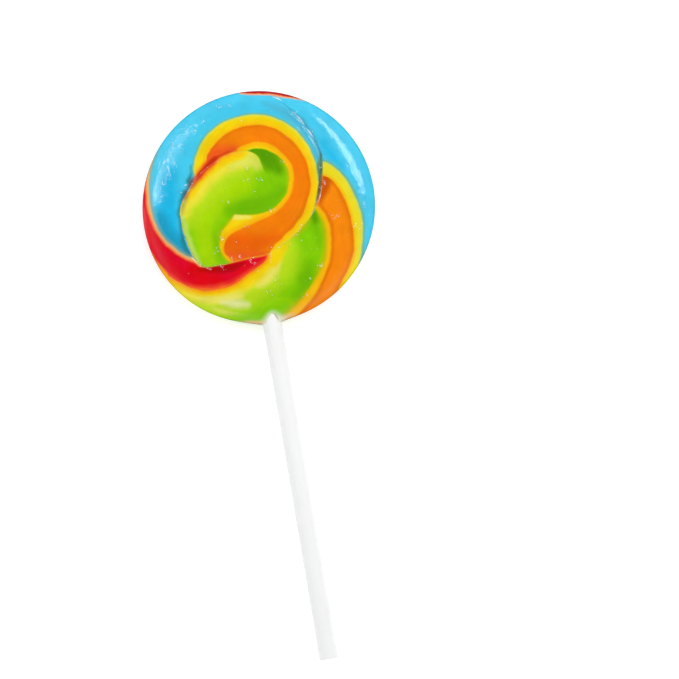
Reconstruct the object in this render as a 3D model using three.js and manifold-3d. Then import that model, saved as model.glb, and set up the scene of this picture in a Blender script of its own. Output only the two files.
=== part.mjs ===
// Swirl lollipop: a rope of coloured boiled sugar, coiled, pressed into a thick round sweet and set
// on a rolled paper stick.
// Millimetres, +Z up. The lollipop lies on its back with its face up and its stick along -Y.
// The origin is the middle of the small flat that it rests on, under the middle of the sweet.

import * as THREE from "three";
import { mergeVertices } from "three/addons/utils/BufferGeometryUtils.js";
import Module from "manifold-3d";

// The sweet
const HEAD_RADIUS = 27.25;
const HEAD_HALF_THICKNESS = 4.75; // from the middle plane to the face, before the underside's flat
const BELLY = 2.6; // 2 gives an ellipse for the side view, and more gives a flatter face
const FLAT_DEPTH = 0.06; // how much of the underside settled flat on the cooling slab
const HEAD_SEGMENTS = 80; // around
const HEAD_RINGS = 20; // from the middle of a face to the rim

// The rim runs out a little round the stick, and wavers elsewhere.
const COLLAR_REACH = 0.55;
const COLLAR_HALF_WIDTH = 3.2;
const RIM_WAVER = 0.12;

// The crease where one turn of the rope meets the next, seen from above: it starts outside the rim,
// where the tail of the rope tapers off, and winds inwards round the coil to the rope's inner end.
const CREASE = [
  [0.5, 28.2],
  [7.2, 25.1],
  [11.0, 21.3],
  [13.6, 17.8],
  [15.4, 13.8],
  [16.4, 9.6],
  [15.8, 5.4],
  [14.4, 0.4],
  [12.1, -3.7],
  [8.9, -7.0],
  [5.2, -9.1],
  [0.8, -11.3],
  [-4.8, -11.9],
  [-10.5, -12.4],
  [-15.4, -11.5],
  [-17.4, -7.8],
  [-18.5, -2.3],
  [-18.2, 2.6],
  [-15.4, 6.8],
  [-11.5, 10.5],
  [-6.0, 13.1],
  [-1.0, 13.6],
  [2.0, 11.6],
  [2.6, 8.6],
];
const CREASE_STEPS = 110;
const CREASE_FACETS = 4; // across
const CREASE_WIDTH = 1.1;
const CREASE_DEPTH = 0.5; // below the rounded shoulders of the rope
const CREASE_FADE = 0.1; // share of its length over which the crease runs out at either end
const SHOULDER_DROP = 0.45; // how far the rope's rounded shoulders fall to the crease
const SHOULDER_WIDTH = 4.2;
const FLAT_KEPT_RADIUS = 7.0; // the shoulders on the underside stay outside the resting flat
const FLAT_BLEND = 3.0;

// The stick
const STICK_RADIUS = 2.25;
const STICK_LENGTH = 105;
const STICK_IN_SWEET = 25;
const STICK_OFF_CENTRE = -1.4; // pushed in a little to one side
const STICK_SEGMENTS = 28;
const STICK_EDGE = 0.18; // the ends' edges are slightly rounded by the cutter
const STICK_CLEARANCE = 0.3;

const WELD = 1e-4;

const wasm = await Module();
wasm.setup();

// A closed geometry as a solid that can be cut.
function solidOf(geometry) {
  const bare = geometry.clone();
  bare.deleteAttribute("normal");
  bare.deleteAttribute("uv");
  const welded = mergeVertices(bare, WELD);
  return new wasm.Manifold(
    new wasm.Mesh({
      numProp: 3,
      vertProperties: welded.attributes.position.array,
      triVerts: new Uint32Array(welded.index.array),
    }),
  );
}

// A cut solid as a geometry again.
function geometryOf(solid) {
  const mesh = solid.getMesh();
  const geometry = new THREE.BufferGeometry();
  geometry.setAttribute("position", new THREE.BufferAttribute(mesh.vertProperties, 3));
  geometry.setIndex(new THREE.BufferAttribute(mesh.triVerts, 1));
  geometry.computeVertexNormals();
  return geometry;
}

// Half the sweet's thickness at a share of the way from its middle to its rim.
function halfThickness(share) {
  return HEAD_HALF_THICKNESS * Math.sqrt(Math.max(0, 1 - share ** BELLY));
}

// The rim's distance from the middle, in a direction from the middle.
function rimRadius(x, y) {
  const angle = Math.atan2(y, x);
  const waver = RIM_WAVER * (Math.sin(2 * angle + 0.6) + 0.6 * Math.sin(3 * angle + 2.1));
  const fromStick = (x / Math.hypot(x, y)) * HEAD_RADIUS - STICK_OFF_CENTRE;
  const collar = y < 0 ? COLLAR_REACH * Math.exp(-((fromStick / COLLAR_HALF_WIDTH) ** 2)) : 0;
  return HEAD_RADIUS + waver + collar;
}

const crease = new THREE.CatmullRomCurve3(CREASE.map(([x, y]) => new THREE.Vector3(x, y, 0)));
const creaseLine = crease.getSpacedPoints(2 * CREASE_STEPS);

// The crease is full in the middle of its length, and runs out to nothing at its ends.
function creaseStrength(share) {
  const { smoothstep } = THREE.MathUtils;
  return smoothstep(share, 0, CREASE_FADE) * (1 - smoothstep(share, 1 - CREASE_FADE, 1));
}

// How far the rope's rounded shoulders fall at a place on the face.
function shoulderDrop(x, y) {
  const place = new THREE.Vector3(x, y, 0);
  const nearest = new THREE.Vector3();
  const piece = new THREE.Line3();
  let drop = 0;
  for (let i = 1; i < creaseLine.length; i += 1) {
    piece.set(creaseLine[i - 1], creaseLine[i]).closestPointToPoint(place, true, nearest);
    const near = 1 - THREE.MathUtils.smoothstep(nearest.distanceTo(place), 0, SHOULDER_WIDTH);
    drop = Math.max(drop, near * creaseStrength(i / creaseLine.length));
  }
  return SHOULDER_DROP * drop;
}

// The height of the sweet's face above its middle plane. side is 1 for the face and -1 for the back.
function surfaceHeight(x, y, side) {
  const radius = Math.hypot(x, y);
  const share = Math.min(1, radius / (radius > 0 ? rimRadius(x, y) : HEAD_RADIUS));
  const plain = halfThickness(share);
  const spared = THREE.MathUtils.smoothstep(radius, FLAT_KEPT_RADIUS, FLAT_KEPT_RADIUS + FLAT_BLEND);
  const drop = shoulderDrop(x, y) * (plain / HEAD_HALF_THICKNESS) * (side > 0 ? 1 : spared);
  const height = plain - drop;
  return side > 0 ? height : -Math.min(height, HEAD_HALF_THICKNESS - FLAT_DEPTH);
}

// The pressed sweet before its creases are cut: a turned shape whose skin is moved on to the true face.
function pressedBody() {
  const profile = [];
  for (let i = -HEAD_RINGS; i <= HEAD_RINGS; i += 1) {
    const turn = (i / HEAD_RINGS) * (Math.PI / 2);
    profile.push(new THREE.Vector2(HEAD_RADIUS * Math.cos(turn) ** (2 / BELLY), i));
  }
  const body = new THREE.LatheGeometry(profile, HEAD_SEGMENTS);
  body.rotateX(Math.PI / 2);
  const skin = body.attributes.position;
  for (let i = 0; i < skin.count; i += 1) {
    const [x, y, level] = [skin.getX(i), skin.getY(i), skin.getZ(i)];
    const stretch = Math.hypot(x, y) > WELD ? rimRadius(x, y) / HEAD_RADIUS : 1;
    const atRim = Math.abs(level) < WELD;
    const z = atRim ? 0 : surfaceHeight(x * stretch, y * stretch, Math.sign(level));
    skin.setXYZ(i, x * stretch, y * stretch, z);
  }
  return solidOf(body);
}

// A round-bottomed tool that lies along the crease, on the face or on the back. Its section is a
// parabola through the crease's edges and bottom, carried on as far above the surface.
function creaseTool(side) {
  const section = new THREE.Shape();
  section.moveTo(-CREASE_DEPTH, -CREASE_WIDTH / Math.SQRT2);
  section.quadraticCurveTo(3 * CREASE_DEPTH, 0, -CREASE_DEPTH, CREASE_WIDTH / Math.SQRT2);
  const path = crease.getSpacedPoints(CREASE_STEPS).map((place, i) => {
    const lift = 1.5 * CREASE_DEPTH * (1 - creaseStrength(i / CREASE_STEPS));
    return new THREE.Vector3(place.x, place.y, lift + side * surfaceHeight(place.x, place.y, side));
  });
  const tool = new THREE.ExtrudeGeometry(section, {
    steps: CREASE_STEPS,
    curveSegments: CREASE_FACETS,
    bevelEnabled: false,
    extrudePath: new THREE.CatmullRomCurve3(path),
  });
  const solid = solidOf(tool);
  return side > 0 ? solid : solid.mirror([0, 0, 1]);
}

// The hole that the stick stands in. It is open at the rim.
function socket() {
  const reach = STICK_IN_SWEET + STICK_CLEARANCE + COLLAR_REACH + 1;
  const radius = STICK_RADIUS + STICK_CLEARANCE;
  const hole = new THREE.CylinderGeometry(radius, radius, reach, STICK_SEGMENTS);
  const bottom = -HEAD_RADIUS + STICK_IN_SWEET + STICK_CLEARANCE;
  hole.translate(STICK_OFF_CENTRE, bottom - reach / 2, 0);
  return solidOf(hole);
}

function makeSweet() {
  const cut = pressedBody().subtract(creaseTool(1)).subtract(creaseTool(-1)).subtract(socket());
  const material = new THREE.MeshStandardMaterial({ color: 0x3fbfe8, roughness: 0.18, metalness: 0 });
  const sweet = new THREE.Mesh(geometryOf(cut), material);
  sweet.name = "candy_swirl";
  return sweet;
}

function makeStick() {
  const profile = [
    [0, 0],
    [STICK_RADIUS - STICK_EDGE, 0],
    [STICK_RADIUS, STICK_EDGE],
    [STICK_RADIUS, STICK_LENGTH - STICK_EDGE],
    [STICK_RADIUS - STICK_EDGE, STICK_LENGTH],
    [0, STICK_LENGTH],
  ].map(([radius, along]) => new THREE.Vector2(radius, along));
  const material = new THREE.MeshStandardMaterial({ color: 0xf4f4f2, roughness: 0.6, metalness: 0 });
  const stick = new THREE.Mesh(new THREE.LatheGeometry(profile, STICK_SEGMENTS), material);
  stick.name = "stick";
  stick.position.set(STICK_OFF_CENTRE, -HEAD_RADIUS + STICK_IN_SWEET - STICK_LENGTH, 0);
  return stick;
}

const lollipop = new THREE.Group();
lollipop.position.z = HEAD_HALF_THICKNESS - FLAT_DEPTH;
lollipop.add(makeSweet(), makeStick());

export default lollipop;
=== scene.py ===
from functools import cache
from math import radians

import bmesh
import bpy
import numpy as np
from mathutils import Matrix, Vector, noise


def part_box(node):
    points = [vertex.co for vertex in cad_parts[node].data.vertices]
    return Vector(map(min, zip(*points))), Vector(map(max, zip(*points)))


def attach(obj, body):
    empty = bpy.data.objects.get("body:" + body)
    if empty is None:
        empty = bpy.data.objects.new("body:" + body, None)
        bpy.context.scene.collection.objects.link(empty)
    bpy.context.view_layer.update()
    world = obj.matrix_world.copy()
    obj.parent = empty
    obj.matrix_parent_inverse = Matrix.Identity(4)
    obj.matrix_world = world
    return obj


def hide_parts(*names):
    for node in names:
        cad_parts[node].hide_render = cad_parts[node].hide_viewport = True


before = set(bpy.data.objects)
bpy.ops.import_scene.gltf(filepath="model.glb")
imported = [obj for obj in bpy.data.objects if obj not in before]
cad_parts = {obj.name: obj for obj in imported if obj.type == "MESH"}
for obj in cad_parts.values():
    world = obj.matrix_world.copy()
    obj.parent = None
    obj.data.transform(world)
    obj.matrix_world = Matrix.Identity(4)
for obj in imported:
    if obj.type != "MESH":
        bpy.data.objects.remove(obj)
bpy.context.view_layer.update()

# ---------------------------------------------------------------------------------------------
# The sweet. A rope of boiled sugar, laid up from strips of coloured sugar, is coiled round its own
# end, pressed flat while it is soft and left to set round the stick. Lengths here are millimetres.
# ---------------------------------------------------------------------------------------------
MM = 0.001
HEAD_RADIUS = 27.25
HALF_THICKNESS = 4.75
BELLY = 2.6  # 2 gives an ellipse for the side view, and more gives a flatter face
FLAT_DEPTH = 0.06  # of the small flat under its middle, which it rests on
MIDDLE_HEIGHT = HALF_THICKNESS - FLAT_DEPTH
STICK_RADIUS = 2.25
STICK_AXIS_X = -1.4


def flowing(points, steps=9):
    """A smooth line through points, as a rope or a strip of soft sugar runs."""
    ends = [2 * np.array(points[0]) - points[1], 2 * np.array(points[-1]) - points[-2]]
    knots = np.array([ends[0], *points, ends[1]], float)
    share = np.linspace(0, 1, steps, endpoint=False)[:, None]
    runs = []
    for before, start, end, after in zip(knots, knots[1:], knots[2:], knots[3:]):
        bend = 2 * before - 5 * start + 4 * end - after
        twist = 3 * (start - end) + after - before
        runs.append(start + 0.5 * share * (end - before + share * (bend + share * twist)))
    return np.vstack([*runs, knots[-2:-1]])


def nearest_on(line, places):
    """How far each place is from a line, and how far along the line its nearest point is, from 0 to 1."""
    best = np.full(len(places), np.inf)
    found = np.zeros(len(places))
    for count, (start, end) in enumerate(zip(line, line[1:])):
        run = end - start
        share = np.clip((places - start) @ run / max(run @ run, 1e-12), 0, 1)
        gap = places - start - share[:, None] * run
        square = (gap * gap).sum(1)
        closer = square < best
        best[closer] = square[closer]
        found[closer] = count + share[closer]
    return np.sqrt(best), found / (len(line) - 1)


def outside_of(outline, places):
    """How far each place is outside a closed outline, and less than 0 inside it."""
    loop = np.vstack([outline, outline[:1]])
    away, _ = nearest_on(loop, places)
    inside = np.zeros(len(places), bool)
    x, y = places.T
    for (x0, y0), (x1, y1) in zip(loop, loop[1:]):
        level = (y0 > y) != (y1 > y)
        inside[level] ^= x[level] < x0 + (y[level] - y0) * (x1 - x0) / (y1 - y0)
    return np.where(inside, -away, away)


def smooth(value, low, high):
    """0 below low and 1 above high, with a soft step between them."""
    share = np.clip((value - low) / (high - low), 0, 1)
    return share * share * (3 - 2 * share)


def dent(away, half_width):
    """1 in the middle of a dent and 0 at its sides."""
    return np.clip(1 - (away / half_width) ** 2, 0, 1) ** 1.5


def uneven(places, per_mm, seed=0):
    """Slow random highs and lows over the sweet, from about -1 to 1."""
    return np.array([noise.noise(Vector((x * per_mm, y * per_mm, seed))) for x, y in places])


# The crease between one turn of the rope and the next, from the rim inwards to the rope's end, and
# the shallow fold where the rope's end lies against its own side.
crease = flowing([
    (0.5, 28.2), (7.2, 25.1), (11.0, 21.3), (13.6, 17.8), (15.4, 13.8), (16.4, 9.6), (15.8, 5.4),
    (14.4, 0.4), (12.1, -3.7), (8.7, -6.8), (5.2, -9.1), (0.8, -11.1), (-4.8, -11.4), (-10.5, -11.9),
    (-15.3, -11.5), (-17.2, -7.8), (-18.3, -2.3), (-18.0, 2.6), (-15.4, 6.8), (-11.5, 10.5),
    (-6.0, 13.1), (-1.0, 13.5), (1.8, 11.6), (2.4, 8.6),
])
fold = flowing([
    (4.6, -0.2), (1.5, -1.5), (-2.5, -1.6), (-5.8, -0.9), (-8.2, -3.3), (-10.0, -5.2), (-10.2, -8.4),
    (-8.6, -11.3),
])


def along_crease(start, end):
    """The stretch of the crease from the point nearest to start to the point nearest to end."""
    first, last = (int(np.argmin(((crease - place) ** 2).sum(1))) for place in (start, end))
    return crease[first:last + 1] if first <= last else crease[last:first + 1][::-1]


# Bubbles that burst at the skin while the sugar set. Most are in clusters, given by how far across
# and up each is and how far it spreads. Others are beside the crease and all over the face.
CLUSTERS = [
    (-12.0, 20.2, 0.5), (-5.6, 24.6, 0.7), (-2.3, 24.7, 0.4), (7.3, 9.5, 0.6), (1.5, 6.5, 0.6),
    (-1.6, 6.5, 0.5), (-6.8, 2.2, 0.3), (12.0, -16.2, 0.5), (1.7, -17.9, 0.6), (-1.2, -20.1, 0.6),
    (16.3, 2.9, 0.3), (-11.7, -8.7, 0.4), (-6.2, -10.8, 0.4), (-4.4, -12.3, 0.6), (-2.9, -12.7, 0.5),
    (-10.7, -13.0, 0.4), (-15.9, 7.8, 0.25), (15.9, 6.6, 0.4), (-9.4, -5.9, 0.5), (3.2, -1.3, 0.5),
    (24.3, -3.6, 0.6), (22.0, -8.6, 0.9), (9.2, -18.4, 0.15), (-17.4, 17.2, 1.2), (-3.0, -4.0, 0.7),
    (-8.4, -11.4, 0.5), (-13.9, -12.2, 0.4), (7.6, -22.2, 0.6), (17.6, -5.4, 0.6), (-1.0, 9.6, 0.4),
]
BUBBLES_IN_CLUSTER = 5
CLUSTER_SPREAD = 0.8
CREASE_BUBBLES = 50
CREASE_SPREAD = 0.4
CREASE_STEPS_SPARED = (30, 12)  # at the crease's outer and inner end
FACE_BUBBLES = 16
FACE_BUBBLE_REACH = 25
BUBBLE_RADII = (0.1, 0.26)
draw = np.random.default_rng(11)
x, y, spread = np.repeat(CLUSTERS, BUBBLES_IN_CLUSTER, axis=0).T
clustered = draw.normal(0, CLUSTER_SPREAD, (len(x), 2)) * spread[:, None] + np.column_stack([x, y])
first, last = CREASE_STEPS_SPARED[0], len(crease) - CREASE_STEPS_SPARED[1]
beside = crease[draw.integers(first, last, CREASE_BUBBLES)]
beside = beside + draw.normal(0, CREASE_SPREAD, (CREASE_BUBBLES, 2))
turned = draw.uniform(0, 2 * np.pi, FACE_BUBBLES)
away = FACE_BUBBLE_REACH * np.sqrt(draw.uniform(0, 1, FACE_BUBBLES))
scattered = np.column_stack([away * np.cos(turned), away * np.sin(turned)])
middles = np.vstack([clustered, beside, scattered])
bubbles = np.column_stack([middles, draw.uniform(*BUBBLE_RADII, len(middles))])


def from_bubbles(places):
    """How far each place is from the middle of the nearest bubble, and which bubble that is."""
    gaps = np.hypot(places[:, :1] - bubbles[:, 0], places[:, 1:] - bubbles[:, 1])
    which = np.argmin(gaps / bubbles[:, 2], axis=1)
    return gaps[np.arange(len(places)), which], which


# The ball of sugar before it is pressed. Its skin is finer near the crease, the fold, the bubbles
# and the stick's joint: how near is less at each round.
SKIN_ROUNDS = (1.1, 0.5)
LESS_NEAR_FOLD = 0.4
LESS_NEAR_BUBBLE = 0.2
LESS_ON_BACK = 0.4
JOINT = (STICK_AXIS_X, -26.4)
JOINT_RADIUS = 2.2
skin = bmesh.new()
bmesh.ops.create_icosphere(skin, subdivisions=7, radius=1)
radii = HEAD_RADIUS * np.sin(np.linspace(0, np.pi / 2, 2000))
heights = HALF_THICKNESS * np.sqrt(1 - (radii / HEAD_RADIUS) ** BELLY)
steps_out = np.hypot(np.diff(radii), np.diff(heights))
skin_area = np.concatenate([[0], np.cumsum(steps_out * (radii[1:] + radii[:-1]))])


def skin_points():
    return np.array([corner.co for corner in skin.verts])


def pressed(ball):
    """Where each point of a ball's skin goes when the ball is pressed flat, with the skin spread evenly."""
    level = np.abs(ball[:, 2])
    radius = np.interp(1 - level, skin_area / skin_area[-1], radii)
    around = ball[:, :2] / np.maximum(np.hypot(ball[:, 0], ball[:, 1]), 1e-9)[:, None]
    return around * radius[:, None]


for reach in SKIN_ROUNDS:
    ball = skin_points()
    places = pressed(ball)
    near_crease = nearest_on(crease, places)[0]
    near_fold = nearest_on(fold, places)[0] + LESS_NEAR_FOLD
    near_bubble = from_bubbles(places)[0] + LESS_NEAR_BUBBLE
    near_joint = np.hypot(*(places - JOINT).T) - JOINT_RADIUS
    near_any = np.min([near_crease, near_fold, near_bubble, near_joint], axis=0)
    fine = np.where(ball[:, 2] > 0, near_any, near_crease + LESS_ON_BACK) < reach
    skin.verts.index_update()
    edges = [edge for edge in skin.edges if fine[edge.verts[0].index] and fine[edge.verts[1].index]]
    bmesh.ops.subdivide_edges(skin, edges=edges, cuts=1, use_grid_fill=True)
    bmesh.ops.triangulate(skin, faces=[face for face in skin.faces if len(face.verts) > 3])
    for corner in skin.verts:
        corner.co.normalize()

ball = skin_points()
flat = pressed(ball)
on_face = ball[:, 2] > 0
out = np.hypot(*flat.T)

# The rim wavers, and runs out round the stick, further on the left.
RIM_WAVER = 0.12
RIM_FROM = 12
COLLAR_REACH = 0.55
COLLAR_LEFT = 4.4
COLLAR_RIGHT = 3.2
angle = np.arctan2(flat[:, 1], flat[:, 0])
waver = RIM_WAVER * (np.sin(2 * angle + 0.6) + 0.6 * np.sin(3 * angle + 2.1))
from_stick = flat[:, 0] - STICK_AXIS_X
collar_width = np.where(from_stick < 0, COLLAR_LEFT, COLLAR_RIGHT)
collar = COLLAR_REACH * np.exp(-((from_stick / collar_width) ** 2)) * (flat[:, 1] < 0)
stretch = 1 + (waver + collar) / HEAD_RADIUS * smooth(out, RIM_FROM, HEAD_RADIUS)
plan = flat * stretch[:, None]

# The face: rounded shoulders along the crease, the crease with its raised lips, the fold, the
# bubbles and the slow unevenness of sugar that was pressed by hand.
SHOULDER_DROP = 0.45
SHOULDER_WIDTH = 4.2
CREASE_DEPTH = 0.42
CREASE_FADE_OUTSIDE = 0.1  # share of its length over which the crease runs out, at either end
CREASE_FADE_INSIDE = 0.12
# How open the crease is: at a share of its length, a share of its full depth.
CREASE_OPEN = [
    (0, 0.3), (0.1, 0.6), (0.2, 0.8), (0.26, 1), (0.31, 0.7), (0.36, 0.2), (0.45, 0.05), (0.5, 0.1),
    (0.57, 0.45), (0.7, 0.4), (0.77, 0.25), (1, 0.3),
]
SHUT_HALF_WIDTH = 0.26
OPEN_HALF_WIDTH = 0.46
LIP_HEIGHT = 0.07
LIP_AWAY = 0.85
LIP_WIDTH = 0.3
FOLD_DEPTH = 0.14
FOLD_HALF_WIDTH = 0.6
FOLD_FADE = 0.2
BUBBLE_DEPTH = 0.3  # share of its radius
FLAT_KEPT_RADIUS = 7  # round the flat that it rests on, the back stays even
FLAT_BLEND = 3
SKIN_WAVES = [(0.07, 0.16, 1), (0.02, 0.5, 5), (0.008, 1.1, 9)]  # height, how many in 1 mm, seed
WAVES_FROM = 2.5  # half the thickness below which they run out
body = HALF_THICKNESS * np.sqrt(np.clip(1 - (out / HEAD_RADIUS) ** BELLY, 0, 1))
from_crease, along = nearest_on(crease, plan)
strength = smooth(along, 0, CREASE_FADE_OUTSIDE) * (1 - smooth(along, 1 - CREASE_FADE_INSIDE, 1))
openness = np.interp(along, *np.transpose(CREASE_OPEN))
ragged = uneven(plan, 1.5, seed=3)
half_open = SHUT_HALF_WIDTH + (OPEN_HALF_WIDTH - SHUT_HALF_WIDTH) * openness
groove = dent(from_crease, half_open * (1 + 0.3 * ragged)) * strength
lips = np.exp(-(((from_crease - LIP_AWAY) / LIP_WIDTH) ** 2)) * strength * np.sqrt(openness)
lips *= 0.6 + 0.8 * ragged
from_fold, along_fold = nearest_on(fold, plan)
tuck = dent(from_fold, FOLD_HALF_WIDTH) * smooth(along_fold, 0, FOLD_FADE) * on_face
spared = np.where(on_face, 1, smooth(out, FLAT_KEPT_RADIUS, FLAT_KEPT_RADIUS + FLAT_BLEND))
relief = SHOULDER_DROP * (1 - smooth(from_crease, 0, SHOULDER_WIDTH)) * strength * spared
relief += CREASE_DEPTH * openness * groove + FOLD_DEPTH * tuck - LIP_HEIGHT * lips
from_bubble, which = from_bubbles(plan)
bubble_radius = bubbles[which, 2]
pits = BUBBLE_DEPTH * bubble_radius * dent(from_bubble, bubble_radius) * on_face
waves = sum(high * uneven(plan, per_mm, seed) for high, per_mm, seed in SKIN_WAVES)
height = body - (relief + pits) * body / HALF_THICKNESS + waves * spared * smooth(body, 0, WAVES_FROM)

# Where the sweet gets thinner than the stick, the sugar climbs the stick's sides and leaves a
# pointed arch of it bare.
ARCH_TIP = (-0.9, -25.2)
ARCH_LEAN = 0.28
ARCH_HALF_WIDTH = 0.8  # at 1 mm below its tip
ARCH_ROUNDNESS = 0.8
SUGAR_OVER_STICK = 0.1
rod_top = np.sqrt(np.clip(STICK_RADIUS ** 2 - from_stick ** 2, 0, None))
near_rod = (plan[:, 1] < 0) & (np.abs(from_stick) < STICK_RADIUS + 0.2) & (height > 0)
below_tip = np.clip(ARCH_TIP[1] - plan[:, 1], 0, None)
from_arch_middle = np.abs(plan[:, 0] - ARCH_TIP[0] + ARCH_LEAN * below_tip)
from_bare = from_arch_middle - ARCH_HALF_WIDTH * below_tip ** ARCH_ROUNDNESS
over_rod = rod_top + SUGAR_OVER_STICK * smooth(from_bare, 0, 0.6)
covered = np.clip(over_rod - height, 0, None) * smooth(from_bare, -0.1, 0.15) * smooth(height, 0, 0.9)
height = np.where(near_rod, height + covered, height)
height = np.where(on_face, height, -np.minimum(height, MIDDLE_HEIGHT))
for corner, (x, y), z in zip(skin.verts, plan, height):
    corner.co = (x * MM, y * MM, (z + MIDDLE_HEIGHT) * MM)


def put_in_scene(name, shape):
    """A piece of the scene with this shape, which is used up."""
    mesh = bpy.data.meshes.new(name)
    shape.to_mesh(mesh)
    shape.free()
    mesh.shade_smooth()
    piece = bpy.data.objects.new(name, mesh)
    bpy.context.scene.collection.objects.link(piece)
    return piece


candy = put_in_scene("candy", skin)

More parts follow.
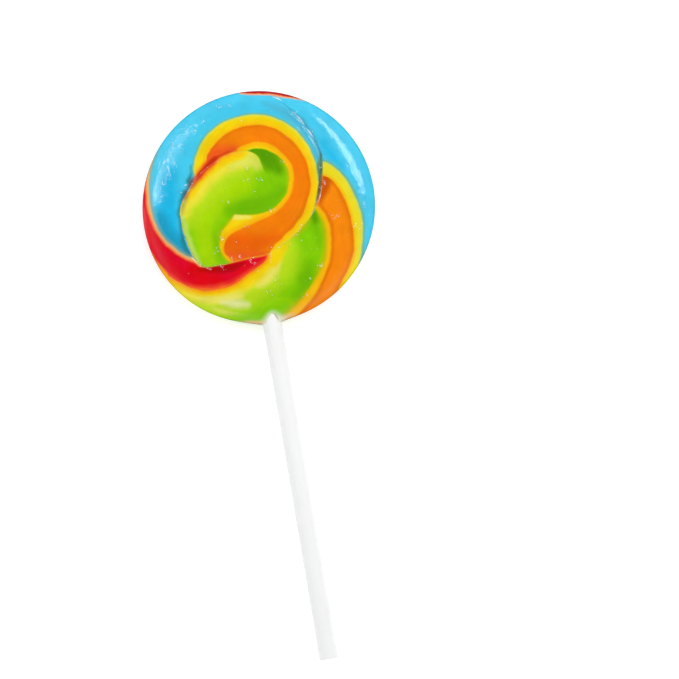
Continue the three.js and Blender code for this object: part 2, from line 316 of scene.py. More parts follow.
# The strips of coloured sugar, by their outlines seen from above. Where a strip ends at the crease
# or at the rim, its outline runs along the crease or round outside the rim. Each strip covers those
# before it. The bay, the coil and the blob aren't strips: they are where the crease cuts strips off.
CUTS = ("bay", "coil", "blob")
LEFT_OF_RED = [(-31, 0), (-30, 10), (-26, 18)]
UNDER_RED = [(-10, -31), (-26, -22), (-31, -9), (-24, -9.5), (-17, -12.6)]
IN_BLOB = [(-11, -9), (-10, 0), (-11, 7)]
UNDER_TURN = [(-8, -17), (-24, -14), (-24, 4), (-15.2, 6.4)]
strips = {
    "bay": np.array([
        (-31, 20), (-31, -9), (-24, -9.5), (-17, -12.6), (-15.3, -11.5), (-14, -8), (-14, 20),
    ]),
    "coil": np.vstack([
        along_crease((16.1, 8.3), (-15.2, 7.0)),
        [(-17, 9), (-18, 16), (-12, 24), (8, 25), (16, 17)],
    ]),
    "blob": np.vstack([
        [(-8.5, -30)],
        along_crease((-8.5, -12.1), (-3.4, 13.6)),
        [(-3, 18), (30, 18), (30, -30)],
    ]),
    "outer yellow": np.vstack([
        flowing([
            (16.1, 8.3), (17.5, 7.8), (19.6, 6.0), (21.3, 3.3), (22.5, 0.1), (23.4, -3.4), (23.7, -6.8),
            (23.2, -10.6), (22.2, -14.6), (21.2, -17.1), (20.0, -19.7),
        ]),
        [(20, -24), (10, -31)], UNDER_RED, along_crease((-15.4, -11.5), (16.3, 8.3)),
    ]),
    "outer orange": np.vstack([
        flowing([
            (15.9, 4.8), (17.3, 4.0), (18.7, 2.5), (19.8, 0.2), (20.6, -2.7), (21.0, -6.2),
            (21.0, -10.1), (20.3, -14.2), (18.4, -17.9), (15.9, -21.3), (14.6, -23.6),
        ]),
        [(14, -27), (8, -31)], UNDER_RED, along_crease((-15.4, -11.5), (16.0, 5.0)),
    ]),
    "outer gold": np.vstack([
        flowing([
            (13.5, -1.8), (14.3, -3.1), (15.1, -4.5), (15.7, -7.3), (15.4, -10.8), (14.3, -15.2),
            (12.2, -18.8), (9.7, -22.3), (6.5, -25.1), (3.2, -27.2), (0.5, -28.4),
        ]),
        UNDER_RED, along_crease((-15.4, -11.5), (13.5, -1.8)),
    ]),
    "outer green": np.vstack([
        flowing([
            (13.0, -2.6), (13.6, -3.9), (14.2, -5.7), (14.5, -8.2), (14.1, -11.6), (13.0, -15.1),
            (10.5, -18.5), (7.9, -21.3), (5.3, -23.7), (2.5, -25.7), (0.0, -28.5),
        ]),
        UNDER_RED, along_crease((-15.4, -11.5), (13.1, -2.5)),
    ]),
    "red": np.vstack([
        flowing([
            (-20.8, 19.5), (-22.9, 15.5), (-24.5, 11.8), (-25.3, 7.7), (-25.5, 3.7), (-24.9, -0.2),
            (-23.5, -3.8), (-21.2, -6.8), (-18.8, -9.1), (-16.7, -10.3), (-15.7, -11.4),
        ]),
        along_crease((-15.3, -11.5), (0.4, -11.3)),
        flowing([
            (0.4, -11.4), (-0.1, -12.4), (-1.8, -13.6), (-4.9, -15.1), (-8.3, -16.8), (-12.4, -17.5),
            (-16.4, -17.0), (-20.1, -15.2), (-23.4, -12.3), (-25.6, -8.9), (-27.0, -5.7), (-28.5, -3.5),
        ]),
        LEFT_OF_RED,
    ]),
    "inner yellow": np.vstack([
        flowing([
            (-13.5, 9.0), (-13.7, 10.9), (-12.7, 14.0), (-10.7, 17.0), (-7.9, 19.6), (-4.2, 21.2),
            (0.0, 21.7), (4.2, 21.3), (8.0, 19.6), (11.3, 16.8), (13.5, 13.4), (14.7, 9.7),
            (15.2, 5.8), (14.8, 1.9), (13.7, -1.9),
        ]),
        [(17, -6), (8, -16)], UNDER_TURN,
    ]),
    "inner orange": np.vstack([
        flowing([
            (-11.5, 10.4), (-10.4, 12.1), (-9.8, 13.8), (-8.1, 15.7), (-5.6, 17.7), (-2.9, 18.8),
            (0.5, 19.2), (4.4, 18.7), (8.1, 16.6), (11.1, 13.1), (12.7, 9.5), (13.2, 5.5), (12.6, 1.6),
            (10.4, -3.0), (7.8, -5.7), (4.6, -8.0), (2.5, -9.4), (1.5, -10.4), (0.9, -11.4),
        ]),
        [(0, -16), (-11, -16)], IN_BLOB,
    ]),
    "inner gold": np.vstack([
        flowing([
            (-3.3, 13.6), (-1.6, 14.4), (1.4, 15.0), (4.5, 14.2), (7.0, 12.0), (8.9, 9.2), (9.3, 5.9),
            (8.3, 2.3), (5.8, -0.6), (2.7, -2.3), (-1.0, -3.3), (-5.2, -4.4), (-8.0, -5.4),
            (-9.3, -7.2), (-9.7, -9.3), (-8.8, -10.7), (-8.1, -12.0),
        ]),
        UNDER_TURN, [(-15, 16), (-5, 16)],
    ]),
    "inner green": np.vstack([
        flowing([
            (-1.2, 13.2), (1.3, 13.5), (4.0, 12.8), (6.6, 10.8), (8.1, 8.3), (8.3, 5.1), (7.0, 2.0),
            (4.7, -0.2), (2.4, -1.3), (-0.6, -1.7), (-3.6, -1.4), (-5.8, -0.8),
        ]),
        flowing([
            (-5.8, -0.8), (-7.3, -2.5), (-9.1, -4.1), (-10.0, -5.8), (-10.4, -8.1), (-9.7, -10.3),
            (-8.4, -11.8),
        ]),
        UNDER_TURN, [(-15, 16), (-4.5, 15.5), (-3.5, 13.2)],
    ]),
    "eye": np.vstack([
        flowing([(-1.3, 13.7), (0.7, 12.8), (1.7, 11.8), (2.3, 10.5), (2.5, 9.1), (3.0, 7.4)]),
        [(3.4, 3), (9.5, 3), (9.5, 10), (4, 15)],
    ]),
    "tail red": np.vstack([
        flowing([
            (0.4, 27.1), (3.0, 26.5), (7.0, 25.7), (10.0, 24.7), (12.4, 23.9), (14.4, 23.3), (16.5, 22.6),
        ]),
        [(24, 24), (12, 31), (2, 31)],
    ]),
    "foot red": np.vstack([
        flowing([(-9.6, -25.6), (-7.0, -26.4), (-4.2, -27.0), (-2.4, -27.5)]),
        [(-4, -31), (-12, -29)],
    ]),
    "glaze": flowing([
        (-3.9, -28.6), (-3.5, -27.0), (-2.7, -26.0), (-1.8, -25.3), (-0.9, -25.0), (0.1, -25.4),
        (1.0, -26.2), (1.7, -27.0), (2.0, -28.6),
    ]),
}

# Places where one colour of sugar has run into the next, and lines of painted shade and painted
# highlight: each is one or more lines of points, with how far across, how far up and half the
# width there. A half width below 0 gives a weaker colour.
strokes = {
    "deep blue": [
        [(-19.0, 12.0, 0.2), (-20.6, 5.5, 1.2), (-21.0, -1.0, 1.0), (-19.6, -5.0, 0.4)],
        [(17.2, 12.4, -0.8), (18.8, 9.4, -0.4), (20.8, 6.0, -0.8)],
    ],
    "slate": [
        [(5.0, 24.0, 0.0), (10.4, 20.4, 0.6), (13.6, 16.6, 0.9), (15.3, 12.6, 0.7), (15.8, 9.4, 0.3)],
    ],
    "shaded": [[(-23.2, 2.0, 0.0), (-22.0, -2.6, 0.7), (-19.8, -6.2, 0.9), (-17.2, -9.6, 0.2)]],
    # Painted shade on the blue beside the crease.
    "blue crease shade": [
        [(-16.4, 6.4, 0.0), (-18.2, 3.0, 0.2), (-18.6, -2.0, 0.25), (-18.6, -6.0, 0.4), (-17.5, -9.0, 0.2)],
        [(-13.9, 12.0, -0.2), (-14.2, 10.2, 0.0), (-15.2, 8.6, 0.1)],
    ],
    # Painted shade in the open crease, over the blue that shows in it.
    "gap": [[(16.4, 9.6, 0.0), (15.8, 7.8, 0.35), (15.5, 5.6, 0.35), (15.1, 3.8, 0.2)]],
    # Painted shade in the narrow crease lower down.
    "low crease shade": [[(15.4, 4.4, -0.1), (14.9, 2.6, 0.2), (14.2, 0.4, 0.2), (13.1, -1.9, 0.0)]],
    # Painted shade on the orange beside the crease.
    "orange crease shade": [[(16.9, 4.4, 0.3), (16.2, 2.4, 0.8), (15.1, 0.1, 0.4), (14.2, -1.7, 0.0)]],
    "ruddy": [[(-9.0, -9.8, 0.2), (-6.0, -10.6, 0.5), (-2.0, -11.0, 0.3), (0.2, -11.3, 0.0)]],
    "warm": [[(-9.0, -7.8, 1.2), (-5.0, -8.4, 2.2), (-0.5, -8.2, 1.2), (2.4, -7.6, 0.0)]],
    "lip flame": [
        [(-11.0, 12.0, 0.0), (-9.0, 13.4, 0.6), (-6.6, 14.1, 0.8), (-4.6, 14.4, 0.4), (-3.0, 14.4, 0.0)],
    ],
    "lip red": [
        [(-16.0, 6.0, -1.2), (-14.6, 7.5, -0.6), (-13.2, 8.8, 0.0), (-11.5, 10.4, 0.4),
         (-9.2, 12.2, 0.3), (-7.2, 13.2, 0.1), (-4.8, 13.9, -0.1), (-3.2, 14.2, -0.3)],
    ],
    "lip shade": [
        [(-18.1, 2.8, -0.3), (-16.9, 5.0, 0.0), (-15.6, 6.9, 0.25), (-14.6, 8.1, 0.2), (-13.8, 9.4, -0.1)],
    ],
    # Painted shade on the blob's yellow where it dips into the crease at the lip.
    "lip olive shade": [[(-17.9, 1.2, -0.4), (-17.4, 3.2, 0.0), (-16.3, 5.0, 0.0)]],
    # Painted shade on the yellow beside the lip's dark line.
    "lip brown shade": [[(-16.6, 4.8, -0.2), (-15.3, 6.6, 0.2), (-14.0, 7.9, 0.4), (-12.6, 9.1, 0.1)]],
    "wedge": [
        [(6.0, -9.6, -0.6), (4.2, -10.6, 0.2), (2.6, -11.6, 1.0), (1.0, -13.2, 0.8), (0.0, -14.0, 0.1)],
        [(-0.6, -14.6, 0.2), (-3.6, -16.2, 0.6), (-7.0, -17.8, 0.0)],
    ],
    "cream": [
        [(2.6, -12.6, 0.0), (1.6, -14.4, 0.6), (-0.2, -16.3, 0.7), (-3.0, -17.9, 0.1)],
        [(-17.6, -18.0, -0.4), (-15.0, -19.1, 0.3), (-11.6, -19.8, 0.4), (-7.6, -19.9, 0.0)],
        [(-14.6, -21.6, -0.8), (-12.2, -22.8, -0.4), (-9.0, -23.8, -0.9)],
    ],
    "wedge cream": [[(-6.3, -1.3, 0.0), (-5.0, -1.5, 0.35), (-3.9, -1.8, 0.35), (-2.2, -2.0, 0.0)]],
    "eye cream": [[(-4.6, 10.2, -0.2), (-2.0, 11.0, 0.4), (0.4, 10.8, 0.5), (1.2, 9.6, 0.0)]],
    # A painted highlight: a soft pale patch on the green.
    "pale green highlight": [[(-12.0, -20.6, 0.0), (-10.2, -21.1, 0.3), (-8.4, -21.6, 0.4), (-6.4, -22.1, 0.0)]],
    # Its first two lines, beside the fold, are painted shade; the others are a darker green in the sugar.
    "leaf": [
        [(-6.6, 0.2, 0.3), (-2.0, 0.0, 1.0), (3.0, 0.8, 1.0), (6.4, 2.8, 0.1)],
        [(-11.2, -4.4, -1.2), (-11.0, -7.0, -0.6), (-10.8, -10.4, -0.8)],
        [(5.6, -21.8, 0.2), (8.2, -18.6, 0.9), (9.8, -15.0, 0.1)],
        [(12.2, -4.2, 0.1), (12.5, -7.0, 0.0), (12.6, -11.0, -0.6)],
    ],
    "dark leaf": [
        [(-0.4, 13.6, 0.1), (2.2, 12.7, 0.7), (3.8, 11.2, 1.2), (4.8, 9.6, 1.2), (6.0, 8.2, 0.3)],
        [(12.6, -3.4, 0.1), (12.6, -5.4, 0.3)],
        [(-10.6, -11.4, -0.2), (-9.6, -11.0, 0.2), (-9.3, -10.2, -0.2)],
    ],
    "lime": [
        [(-13.4, -10.8, 1.0), (-13.6, -6.0, 1.2), (-13.2, -2.0, 1.4), (-8.4, 3.6, 1.8), (-2.5, 5.6, 1.0)],
        [(-5.0, -24.6, -1.6), (0.0, -22.2, -1.2), (4.0, -23.0, -1.6)],
    ],
    "blob edge": [
        [(-17.9, 0.6, 0.0), (-17.8, -1.6, 0.4), (-17.5, -4.4, 0.5), (-16.7, -8.4, 0.3), (-15.6, -10.9, 0.1)],
    ],
    "dark red": [[(-15.8, -12.2, 0.1), (-12.0, -12.7, 0.7), (-8.6, -13.0, 0.6), (-5.6, -12.4, 0.0)]],
    "under red": [
        [(0.2, -12.2, -0.5), (-1.8, -13.6, -0.1), (-4.9, -15.1, 0.0), (-8.3, -16.8, 0.1),
         (-12.4, -17.5, 0.3), (-16.4, -17.0, 0.1), (-20.1, -15.2, -0.2), (-23.4, -12.3, -0.4)],
    ],
    # A painted highlight on the red at the rounded rim.
    "red rim highlight": [[(-26.8, 8.0, 0.0), (-27.0, 1.0, 0.3), (-26.8, -4.5, -0.3)]],
    "foot peach": [
        [(-9.4, -25.7, -0.3), (-6.4, -26.6, 0.1), (-3.8, -27.1, 0.4)],
        [(0.6, -27.2, 0.3), (2.4, -26.6, 0.2), (4.8, -26.0, -0.3)],
    ],
    # Painted shadow lines where the sugar meets the stick.
    "joint shadow": [
        [(0.6, -27.5, 0.1), (2.8, -27.1, 0.2), (5.4, -26.6, 0.05)],
        [(-0.9, -25.0, 0.0), (-0.3, -25.6, 0.1), (0.2, -26.9, 0.05)],
    ],
    # Painted highlights along the crease's lips.
    "lip glints": [
        [(11.6, 20.6, 0.0), (12.9, 18.9, 0.14), (13.9, 17.0, 0.0)],
        [(14.1, 16.4, 0.0), (14.8, 15.1, 0.16), (15.6, 13.3, 0.0)],
        [(15.5, 2.4, 0.0), (14.7, 0.2, 0.12), (13.7, -1.8, 0.05)],
        [(7.6, 24.8, 0.0), (8.8, 24.2, 0.06), (9.9, 23.2, 0.0)],
        [(1.2, -11.1, 0.05), (0.9, -12.3, 0.1), (0.6, -13.8, 0.0)],
        [(-17.4, -9.0, 0.0), (-16.4, -10.6, 0.08), (-15.6, -11.6, 0.0)],
    ],
    # Where the sugar has fine wrinkles, which are also whitened as painted highlight.
    "wrinkled": [
        [(-13.4, 20.6, 0.2), (-16.4, 17.4, 1.0), (-19.4, 13.0, 1.4), (-21.2, 8.6, 0.6), (-22.0, 4.6, 0.0)],
    ],
}
SHARP_STROKES = ("lip glints",)
lip_line = along_crease((-17.9, 2.4), (-2.6, 13.6))


def stroke_gap(lines):
    """How far each place on the sweet is outside the nearest of these strokes."""
    gaps = []
    for points in lines:
        line = flowing(points)
        away, share = nearest_on(line[:, :2], plan)
        gaps.append(away - np.interp(share * (len(line) - 1), np.arange(len(line)), line[:, 2]))
    return np.min(gaps, axis=0)


# On the back the strips wander a little from where they lie on the face.
WANDER = 1.3
wander = WANDER * smooth(HEAD_RADIUS - out, 1, 7) * smooth(from_crease, 0, 3) * ~on_face
plan = plan + wander[:, None] * np.column_stack([uneven(plan, 0.13, seed=21), uneven(plan, 0.13, seed=33)])

# What the sugar's colours and skin go by, kept with each point of the skin.
RUNNY = 0.35
LIP_TAPER = (1.6, 0.28)  # how much thinner the lip's colours start, and the share until they are full
FAR_FROM_BUBBLES = 9
fields = {name: outside_of(outline, plan) for name, outline in strips.items()}
strip_edges = [np.abs(gap) for name, gap in fields.items() if name not in CUTS]
fields["grain"] = np.min(strip_edges, axis=0)
runny = RUNNY * uneven(plan, 0.4, seed=13)
for name, lines in strokes.items():
    fields[name] = stroke_gap(lines) + (0 if name in SHARP_STROKES else runny)
from_lip, along_lip = nearest_on(lip_line, plan)
fields["lip"] = from_lip + LIP_TAPER[0] * (1 - smooth(along_lip, 0, LIP_TAPER[1]))
fields["groove"] = groove * openness ** 1.5 * spared
fields["bubble"] = np.where(on_face, from_bubble / bubble_radius, FAR_FROM_BUBBLES)
fields["rim"] = np.abs(height)
for name, values in fields.items():
    column = candy.data.attributes.new(name, "FLOAT", "POINT")
    column.data.foreach_set("value", values.astype(np.float32))

# Boiled sugar colours, as they show in daylight, in shares of 255, and a few colours of painted
# shade and painted highlight, as marked.
SUGAR = {
    "sky": (70, 202, 236), "deep blue": (32, 186, 231), "shaded": (28, 160, 200),
    # Painted shade: the darkest teal on this line is for the blue beside the crease.
    "slate": (76, 184, 214), "blue crease shade": (34, 136, 150), "sea": (106, 182, 152), "clay": (136, 164, 134),
    # Painted shade: the dark teal-green and the dark olive on this line are for inside the crease.
    "gap": (88, 138, 100), "low crease shade": (122, 104, 40), "straw": (220, 222, 70), "lemon": (238, 220, 36),
    "yellow": (244, 212, 6), "amber": (252, 192, 14), "gold": (250, 188, 8), "glow": (248, 164, 10),
    "burnt orange": (236, 122, 2), "light orange": (250, 140, 8), "orange": (246, 130, 4),
    # Painted shade: the darkest orange on this line is for beside the crease.
    "warm": (240, 102, 4), "flame": (240, 96, 26), "orange crease shade": (208, 88, 4), "olive": (188, 190, 2),
    # The leaf green on this line is partly painted shade, beside the fold.
    "green": (134, 206, 2), "lime": (168, 218, 1), "leaf": (114, 188, 1), "dark leaf": (92, 162, 0),
    "light green": (190, 224, 28), "pale": (238, 226, 60), "mist": (190, 220, 90),
    # Painted highlight: the palest green-white on this line.
    "cream": (236, 228, 98), "eye cream": (222, 226, 88), "pale green highlight": (228, 231, 158),
    "red": (226, 2, 32), "dark red": (182, 4, 8), "coral": (238, 52, 40), "tongue": (248, 108, 38),
    # Painted highlight: the first colour on this line is for the red at the rim.
    "red rim highlight": (242, 66, 74), "lip red": (206, 50, 14), "lip shade": (92, 92, 98),
    # Painted shade: the lip's olive and brown on this line.
    "lip olive shade": (172, 172, 78), "lip brown shade": (204, 126, 50), "peach": (250, 160, 98),
    "pale peach": (228, 188, 124), "foot peach": (238, 200, 142), "tail red": (190, 16, 24),
    # Painted shadow: the brown on this line is for the joint with the stick.
    "glaze": (236, 236, 208), "maroon": (150, 50, 30), "brown": (140, 80, 36),
}

# The coats of colour, in order: strip or stroke, how far past its outline, how soft its edge is,
# colour, and the outlines that it stays within.
COATS = [
    ("deep blue", 1.2, 3.2, "deep blue"),
    ("slate", 0.4, 1.6, "slate"),
    ("shaded", 1.0, 3.0, "shaded"),
    # Painted shade on the blue beside the crease.
    ("blue crease shade", 0.3, 1.2, "blue crease shade"),
    ("red", 0.95, 1.5, "clay", "bay"),
    ("red", 0.6, 0.6, "pale peach", "bay"),
    ("outer yellow", 0.35, 1.0, "sea"),
    ("outer yellow", -0.2, 0.5, "straw"),
    ("outer yellow", -0.65, 0.7, "lemon"),
    ("outer orange", 0.45, 0.9, "amber"),
    ("outer orange", -0.1, 0.5, "burnt orange"),
    ("outer orange", -0.9, 1.2, "light orange"),
    # Painted shade on the orange beside the crease.
    ("orange crease shade", 0.5, 1.8, "orange crease shade", "outer orange"),
    ("outer gold", 0.9, 0.8, "burnt orange", "outer orange"),
    ("outer gold", 0.05, 0.7, "gold"),
    ("outer green", 0.25, 1.1, "olive"),
    ("outer green", -0.7, 1.4, "green"),
    ("leaf", 1.0, 2.8, "leaf", "outer green"),
    ("lime", 1.0, 4.0, "lime", "outer green"),
    ("dark leaf", 0.5, 1.6, "dark leaf", "outer green"),
    ("red", 6.8, 4.6, "light green", "outer green"),
    ("red", 3.0, 2.4, "pale", "outer green"),
    ("cream", 0.6, 2.0, "cream", "outer green"),
    # A painted highlight on the green.
    ("pale green highlight", 0.4, 2.0, "pale green highlight", "outer green"),
    ("wedge", 0.7, 2.0, "yellow", "outer green"),
    ("red", 1.5, 1.2, "yellow", "outer green"),
    ("red", 0.75, 1.5, "glow", "outer green"),
    ("red", 0.2, 0.6, "peach", "bay"),
    ("red", -0.05, 0.7, "tongue"),
    ("red", -0.35, 0.5, "red"),
    ("dark red", 0.3, 1.6, "dark red", "red"),
    ("under red", 0.9, 1.2, "coral", "red"),
    ("under red", 0.2, 0.9, "tongue", "red"),
    # A painted highlight on the red at the rim.
    ("red rim highlight", 0.3, 1.0, "red rim highlight", "red"),
    ("inner yellow", 0.2, 0.8, "sea", "coil"),
    ("inner yellow", -0.15, 0.5, "straw", "coil"),
    # Painted shade in the crease, on this line and the next.
    ("gap", 0.1, 0.8, "gap"),
    ("low crease shade", 0.1, 0.8, "low crease shade"),
    ("inner yellow", -0.55, 0.7, "yellow", "coil"),
    ("inner orange", 0.6, 1.5, "amber", "coil"),
    ("inner orange", -0.1, 0.5, "burnt orange", "coil"),
    ("inner orange", -0.8, 1.0, "orange", "coil"),
    ("warm", 1.0, 4.0, "warm", "coil", "inner orange"),
    ("ruddy", 0.4, 1.8, "flame", "coil", "inner orange"),
    ("lip flame", 0.6, 2.4, "flame", "inner orange"),
    ("inner gold", 0.1, 0.6, "gold", "coil", "blob"),
    ("inner gold", -0.9, 0.9, "yellow", "coil", "blob"),
    ("wedge cream", 0.3, 1.0, "cream", "inner gold"),
    ("inner green", 0.0, 0.6, "olive", "coil", "blob"),
    ("inner green", -0.45, 0.8, "green", "coil", "blob"),
    ("lime", 1.0, 4.0, "lime", "coil", "inner green", "blob"),
    # Painted shade beside the fold.
    ("leaf", 1.0, 3.0, "leaf", "coil", "inner green", "blob"),
    ("lip", 6.4, 4.6, "light green", "coil", "inner green", "blob"),
    ("lip", 4.0, 2.4, "pale", "coil", "inner green", "blob"),
    ("eye cream", 0.8, 2.4, "eye cream", "coil", "inner green", "blob"),
    ("dark leaf", 1.2, 3.0, "dark leaf", "coil", "inner green", "eye"),
    ("blob edge", 0.3, 1.2, "mist", "coil", "inner green"),
    ("lip", 2.2, 1.4, "yellow", "coil", "inner green", "blob"),
    ("lip", 1.1, 1.2, "amber", "coil", "inner green", "blob"),
    # Painted shade beside the lip's crease, on this line and the next.
    ("lip olive shade", 0.4, 1.4, "lip olive shade", "coil", "inner green", "blob"),
    ("lip brown shade", 0.4, 1.3, "lip brown shade", "coil", "inner green", "blob"),
    ("lip red", 0.7, 1.4, "flame"),
    ("lip red", 0.15, 0.9, "lip red"),
    ("lip shade", 0.1, 1.0, "lip shade"),
    ("tail red", 0.4, 0.5, "peach"),
    ("tail red", 0.05, 0.4, "tail red"),
    ("foot peach", 0.3, 1.2, "foot peach"),
    ("foot red", -0.1, 0.3, "maroon"),
    ("glaze", 0.1, 2.0, "glaze"),
    # Painted shadow lines at the joint with the stick.
    ("joint shadow", 0.0, 0.5, "brown"),
]
WHITE = (1.0, 1.0, 1.0, 1.0)


def daylight(shares):
    """A colour given in shares of 255, as the light that it sends back."""
    level = np.array(shares) / 255
    return (*np.where(level <= 0.04045, level / 12.92, ((level + 0.055) / 1.055) ** 2.4), 1)


def new_material(name):
    material = bpy.data.materials.new(name)
    material.use_nodes = True
    return material, material.node_tree, material.node_tree.nodes["Principled BSDF"]


def plug(tree, node, inputs):
    """Links a node's inputs, or sets them where the value is a plain one, by name or number."""
    for socket, value in inputs.items():
        if isinstance(value, bpy.types.NodeSocket):
            tree.links.new(value, node.inputs[socket])
        else:
            node.inputs[socket].default_value = value


def add_node(tree, kind, inputs, out=0, **settings):
    """Adds a node with its settings and inputs, and gives back one of its outputs."""
    node = tree.nodes.new(kind)
    for key, value in settings.items():
        setattr(node, key, value)
    plug(tree, node, inputs)
    return node.outputs[out]


def math(tree, operation, first, second=0.0, third=0.0):
    return add_node(tree, "ShaderNodeMath", {0: first, 1: second, 2: third}, operation=operation)


def product(tree, first, *others):
    for other in others:
        first = math(tree, "MULTIPLY", first, other)
    return first


def ranged(tree, value, low, high):
    """A value from 0 to 1 spread from low to high."""
    return add_node(tree, "ShaderNodeMapRange", {"Value": value, "To Min": low, "To Max": high})


def step(tree, value, none_at, full_at):
    """0 at one value and 1 at another, with a soft step between them."""
    limits = {"Value": value, "From Min": none_at, "From Max": full_at}
    return add_node(tree, "ShaderNodeMapRange", limits, interpolation_type="SMOOTHSTEP")


def speckle(tree, places, per_mm, detail=2.0):
    return add_node(tree, "ShaderNodeTexNoise", {"Vector": places, "Scale": per_mm, "Detail": detail})


def mixed(tree, share, first, second):
    links = {0: share, 6: first, 7: second}
    return add_node(tree, "ShaderNodeMix", links, out=2, data_type="RGBA")


def scaled(tree, vector, amount):
    return add_node(tree, "ShaderNodeVectorMath", {0: vector, "Scale": amount}, operation="SCALE")


def separated(tree, vector):
    """The parts of a vector across, along and up."""
    return add_node(tree, "ShaderNodeSeparateXYZ", {0: vector}).node.outputs


def combined(tree, x, y, z):
    return add_node(tree, "ShaderNodeCombineXYZ", {0: x, 1: y, 2: z})


def bump(tree, height_mm):
    """A skin that stands up by this height."""
    return add_node(tree, "ShaderNodeBump", {"Height": height_mm, "Strength": 1.0, "Distance": MM})


def millimetres(tree):
    """Places on a piece, in millimetres from the frame's origin."""
    return scaled(tree, add_node(tree, "ShaderNodeTexCoord", {}, out="Object"), 1 / MM)


boiled_sugar, tree, shader = new_material("boiled_sugar")
places = millimetres(tree)
wobble = math(tree, "SUBTRACT", speckle(tree, places, 0.42), 0.5)


@cache
def sugar_field(name):
    return add_node(tree, "ShaderNodeAttribute", {}, out="Fac", attribute_name=name)


@cache
def edge_gap(name):
    """How far a place is outside a strip, with the strip's edge a little uneven."""
    return math(tree, "MULTIPLY_ADD", wobble, 0.5, sugar_field(name))


def cover(name, past, softness):
    """1 inside a strip and 0 outside."""
    return step(tree, edge_gap(name), past + softness / 2, past - softness / 2)


@cache
def kept_within(name):
    return cover(name, 0.0, 0.3)


colour = daylight(SUGAR["sky"])
for strip, past, softness, sugar, *kept in COATS:
    share = product(tree, cover(strip, past, softness), *[kept_within(outline) for outline in kept])
    colour = mixed(tree, share, colour, daylight(SUGAR[sugar]))

# The sugar is cloudy, streaked along the strips, and full of fine grit.
STREAK_SHADES = (0.745, 0.868)
CLOUD_SHADES = (0.88, 1.12)
GRIT_SHADES = (0.93, 1.07)
STREAKS_ACROSS = 1.5
STREAKS_ALONG = 0.16
x_y_z = separated(tree, places)
grain = sugar_field("grain")


def drawn_out(per_mm_across, per_mm_along):
    """Places for a pattern that is drawn out along the strips."""
    x, y = (math(tree, "MULTIPLY", part, per_mm_along) for part in x_y_z[:2])
    return combined(tree, math(tree, "MULTIPLY", grain, per_mm_across), x, y)


streaks = speckle(tree, drawn_out(STREAKS_ACROSS, STREAKS_ALONG), 1.0, detail=3.0)
clouds = speckle(tree, places, 0.28, detail=3.0)
grit = speckle(tree, places, 4.5)
shades = [
    ranged(tree, streaks, *STREAK_SHADES),
    ranged(tree, clouds, *CLOUD_SHADES),
    ranged(tree, grit, *GRIT_SHADES),
]

# Painted shade: the colour is darkened at the bottom of the crease, in a ring round each bubble and at the
# rim.
from_bubble = sugar_field("bubble")
rim_height = sugar_field("rim")
ring = product(tree, step(tree, from_bubble, 0.7, 1.1), step(tree, from_bubble, 1.9, 1.2))
shades += [
    math(tree, "MULTIPLY_ADD", sugar_field("groove"), -0.35, 1.0),
    math(tree, "MULTIPLY_ADD", ring, -0.1, 1.0),
    math(tree, "MULTIPLY_ADD", step(tree, rim_height, 1.1, 0.4), -0.3, 1.0),
]
colour = scaled(tree, colour, product(tree, *shades))
tint = ranged(tree, speckle(tree, places, 0.19, detail=1.0), 0.494, 0.506)
colour = add_node(tree, "ShaderNodeHueSaturation", {"Hue": tint, "Color": colour})

# Painted highlights: the crease's lips, small dots and fine wrinkles, where the sugar was drawn out,
# are whitened where glints of light would show. Bubbles are whitened too, partly their own white and
# partly painted highlight.
WRINKLES_ACROSS = 3.6
WRINKLES_ALONG = 0.55
BUBBLE_WHITE_AND_HIGHLIGHT = 0.3
LIP_HIGHLIGHT = 0.62
WRINKLE_HIGHLIGHT = 0.34
DOT_WHITE_AND_HIGHLIGHT = 0.06
wrinkled = product(
    tree, cover("wrinkled", 0.6, 2.4), math(tree, "SUBTRACT", 1.0, kept_within("inner yellow")),
)
wrinkles = speckle(tree, drawn_out(WRINKLES_ACROSS, WRINKLES_ALONG), 1.0, detail=2.5)
cells = add_node(tree, "ShaderNodeTexVoronoi", {"Vector": places, "Scale": 0.75}).node
chance = add_node(tree, "ShaderNodeSeparateColor", {0: cells.outputs["Color"]})
few = step(tree, chance, 0.80, 0.82)
dot = step(tree, cells.outputs["Distance"], 0.16, 0.08)
# How patchy the painted highlights on the crease's lips are.
glint_patchiness = ranged(tree, speckle(tree, places, 2.2), 0.2, 1.2)
white = product(tree, step(tree, from_bubble, 0.95, 0.3), BUBBLE_WHITE_AND_HIGHLIGHT)
for whiter in (
    product(tree, cover("lip glints", 0.0, 0.25), glint_patchiness, LIP_HIGHLIGHT),
    product(tree, wrinkled, step(tree, wrinkles, 0.55, 0.7), WRINKLE_HIGHLIGHT),
    product(tree, dot, few, DOT_WHITE_AND_HIGHLIGHT),
):
    white = math(tree, "MAXIMUM", white, whiter)

# Its skin is glossy, with soft ripples and fine wrinkles, rougher round the bubbles, and duller at
# the rim, where it was handled.
RIPPLE_HEIGHT = 0.05
SMOOTH_SKIN_HEIGHT = 0.007
PITTED_SKIN_HEIGHT = 0.085
PLAIN_WRINKLE_HEIGHT = 0.01
WRINKLE_HEIGHT = 0.065
ripples = speckle(tree, places, 0.8, detail=3.0)
pitted = step(tree, from_bubble, 3.2, 1.0)
pit_height = math(tree, "MULTIPLY_ADD", pitted, PITTED_SKIN_HEIGHT, SMOOTH_SKIN_HEIGHT)
wrinkle_height = math(tree, "MULTIPLY_ADD", wrinkled, WRINKLE_HEIGHT, PLAIN_WRINKLE_HEIGHT)
skin_height = product(tree, wrinkles, wrinkle_height)
skin_height = math(tree, "MULTIPLY_ADD", ripples, RIPPLE_HEIGHT, skin_height)
skin_height = math(tree, "MULTIPLY_ADD", speckle(tree, places, 2.6), pit_height, skin_height)
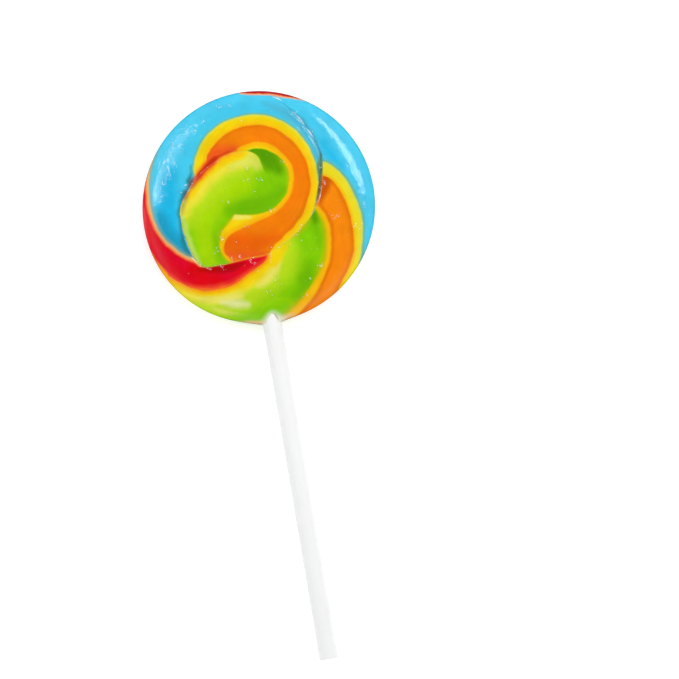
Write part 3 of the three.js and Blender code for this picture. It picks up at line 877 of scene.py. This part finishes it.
plug(tree, shader, {
    "Base Color": mixed(tree, white, colour, WHITE),
    "Normal": bump(tree, skin_height),
    "Roughness": ranged(tree, speckle(tree, places, 0.6, detail=4.0), 0.04, 0.2),
    "Specular IOR Level": math(tree, "MULTIPLY_ADD", step(tree, rim_height, 2.2, 0.8), -0.48, 0.5),
    "IOR": 1.5,
    "Subsurface Weight": 0.25,
    "Subsurface Radius": (1.0, 0.6, 0.4),
    "Subsurface Scale": MM,
})
candy.data.materials.append(boiled_sugar)
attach(candy, "root")
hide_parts("candy_swirl")

# ---------------------------------------------------------------------------------------------
# The stick. White paper is wound round and round itself into a hard rod, glued and cut to length,
# and its top is pushed into the sweet while the sugar is soft.
# ---------------------------------------------------------------------------------------------
low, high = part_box("stick")
STICK_SIDES = 96
STICK_EDGE = 0.18 * MM
PAPER_THICKNESS = 0.07 * MM
SEAM_SIDE = radians(-118)
TURN_SHOWN = 0.26  # millimetres from one turn to the next, as the cut end shows them
stick_radius = (high.x - low.x) / 2
stick_middle = (low + high) / 2
rod = bmesh.new()
bmesh.ops.create_circle(rod, cap_ends=True, segments=STICK_SIDES, radius=stick_radius)
# The sheet's outer edge stands proud of the turn below it, and each turn runs in to that step.
for corner in rod.verts:
    turned = (np.arctan2(corner.co.y, corner.co.x) - SEAM_SIDE) / (2 * np.pi) % 1
    corner.co *= 1 - PAPER_THICKNESS / stick_radius * turned
sides = bmesh.ops.extrude_face_region(rod, geom=rod.faces[:])
lifted = [item for item in sides["geom"] if isinstance(item, bmesh.types.BMVert)]
bmesh.ops.translate(rod, verts=lifted, vec=(0, 0, high.y - low.y))
ends = [edge for edge in rod.edges if abs(edge.verts[0].co.z - edge.verts[1].co.z) < 1e-6]
bmesh.ops.bevel(rod, geom=ends, offset=STICK_EDGE, segments=3, profile=0.5, affect="EDGES", material=-1)
bmesh.ops.rotate(rod, verts=rod.verts, cent=(0, 0, 0), matrix=Matrix.Rotation(radians(-90), 3, "X"))
bmesh.ops.translate(rod, verts=rod.verts, vec=(stick_middle.x, low.y, stick_middle.z))
bmesh.ops.recalc_face_normals(rod, faces=rod.faces)
stick = put_in_scene("paper_stick", rod)

rolled_paper, tree, shader = new_material("rolled_paper")
places = millimetres(tree)
axis = (stick_middle.x / MM, low.y / MM, stick_middle.z / MM)
across, along, up = separated(
    tree, add_node(tree, "ShaderNodeVectorMath", {0: places, 1: axis}, operation="SUBTRACT"),
)
# Fibres lie mostly along the stick, and the cut end shows the turns of paper.
fibre_places = add_node(tree, "ShaderNodeVectorMath", {0: places, 1: (2.4, 0.5, 2.4)}, operation="MULTIPLY")
fibres = speckle(tree, fibre_places, 1.6, detail=4.0)
mottle = speckle(tree, places, 0.25, detail=3.0)
square_away = math(tree, "ADD", math(tree, "POWER", across, 2.0), math(tree, "POWER", up, 2.0))
from_axis = math(tree, "SQRT", square_away)
around = math(tree, "DIVIDE", math(tree, "ARCTAN2", up, across), 2 * np.pi)
winding = math(tree, "FRACT", math(tree, "ADD", math(tree, "DIVIDE", from_axis, TURN_SHOWN), around))
from_turn = math(tree, "ABSOLUTE", math(tree, "SUBTRACT", winding, 0.5))
cut_end = step(tree, along, 0.06, 0.01)
turns_shown = product(tree, step(tree, from_turn, 0.30, 0.46), cut_end)
shade = product(
    tree, ranged(tree, fibres, 0.97, 1.02), ranged(tree, mottle, 0.98, 1.02),
    math(tree, "MULTIPLY_ADD", turns_shown, -0.35, 1.0), math(tree, "MULTIPLY_ADD", cut_end, -0.06, 1.0),
)
WHITE_PAPER = daylight((222, 222, 221))
fuzz = math(tree, "MULTIPLY_ADD", turns_shown, -0.05, math(tree, "MULTIPLY", fibres, 0.02))
plug(tree, shader, {
    "Base Color": scaled(tree, WHITE_PAPER[:3], shade),
    "Roughness": ranged(tree, fibres, 0.42, 0.66),
    "Normal": bump(tree, fuzz),
    "Specular IOR Level": 0.35,
})
stick.data.materials.append(rolled_paper)
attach(stick, "root")
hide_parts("stick")

# ---------------------------------------------------------------------------------------------
# The table. It is a sheet of white acrylic, a little mottled and hardly glossy, and it glows faintly
# of itself, a painted light as from a light table lit from below, so that hardly a shadow shows on it.
# It isn't a part of the lollipop.
# ---------------------------------------------------------------------------------------------
TABLE_HALF_WIDTH = 3
sheet = bmesh.new()
bmesh.ops.create_grid(sheet, x_segments=1, y_segments=1, size=TABLE_HALF_WIDTH)
table = put_in_scene("board", sheet)
white_acrylic, tree, shader = new_material("white_acrylic")
places = millimetres(tree)
mottle = speckle(tree, places, 0.05, detail=4.0)
stipple = speckle(tree, places, 0.9, detail=3.0)
plug(tree, shader, {
    "Base Color": scaled(tree, (0.95, 0.95, 0.95), ranged(tree, mottle, 0.985, 1.01)),
    "Roughness": ranged(tree, mottle, 0.8, 0.95),
    "Normal": bump(tree, math(tree, "MULTIPLY", stipple, 0.02)),
    "Specular IOR Level": 0.1,
    "Emission Color": WHITE,
    "Emission Strength": 0.24,
})
table.data.materials.append(white_acrylic)

# ---------------------------------------------------------------------------------------------
# The light: a long low soft box on either side of the sweet, a wide soft light overhead that the
# gloss doesn't mirror, and a pale room that is darker above.
# ---------------------------------------------------------------------------------------------
LIGHTS = {
    "left_box": {"azimuth": 143, "elevation": 47.0, "away": 1.1, "size": (0.62, 0.11), "watts": 2.1},
    "right_box": {"azimuth": 26, "elevation": 48.0, "away": 1.1, "size": (0.68, 0.2), "watts": 3.4},
    "overhead": {"azimuth": 90, "elevation": 89, "away": 1.4, "size": (2.4, 2.4), "watts": 21.0},
}
LIT_PLACE = Vector((0, -0.02, 0.005))
for name, light in LIGHTS.items():
    lamp = bpy.data.lights.new(name, "AREA")
    lamp.shape = "RECTANGLE"
    lamp.size, lamp.size_y = light["size"]
    lamp.energy = light["watts"]
    box = bpy.data.objects.new(name, lamp)
    raised = Matrix.Rotation(radians(-light["elevation"]), 3, "Y")
    turned = Matrix.Rotation(radians(light["azimuth"]), 3, "Z")
    direction = turned @ raised @ Vector((1, 0, 0))
    box.location = LIT_PLACE + direction * light["away"]
    box.rotation_euler = direction.to_track_quat("Z", "Y").to_euler()
    box.visible_glossy = name != "overhead"
    bpy.context.scene.collection.objects.link(box)

WALLS = 0.98
CEILING = 0.02
room = bpy.data.worlds.new("room")
room.use_nodes = True
tree = room.node_tree
upward = separated(tree, add_node(tree, "ShaderNodeTexCoord", {}, out="Generated"))[2]
plug(tree, tree.nodes["Background"], {
    "Color": (0.96, 0.98, 1.0, 1),
    "Strength": math(tree, "MULTIPLY_ADD", step(tree, upward, 0.85, 0.4), WALLS, CEILING),
})
bpy.context.scene.world = room
bpy.context.scene.view_settings.view_transform = "Standard"

# ---------------------------------------------------------------------------------------------
# The camera. It looks straight down at the face from far off, and is turned a little, so that the
# stick runs down and to the right.
# ---------------------------------------------------------------------------------------------
VIEW_MIDDLE = (13.55 * MM, -33.8 * MM)
VIEW_WIDTH = 159.2 * MM
CAMERA_DISTANCE = 2.0
CAMERA_TURN = radians(-9.6)
lens = bpy.data.cameras.new("camera")
lens.sensor_width = 36
lens.lens = lens.sensor_width * CAMERA_DISTANCE / VIEW_WIDTH
camera = bpy.data.objects.new("camera", lens)
camera.location = (*VIEW_MIDDLE, MIDDLE_HEIGHT * MM + CAMERA_DISTANCE)
camera.rotation_euler = (0, 0, CAMERA_TURN)
bpy.context.scene.collection.objects.link(camera)
bpy.context.scene.camera = camera
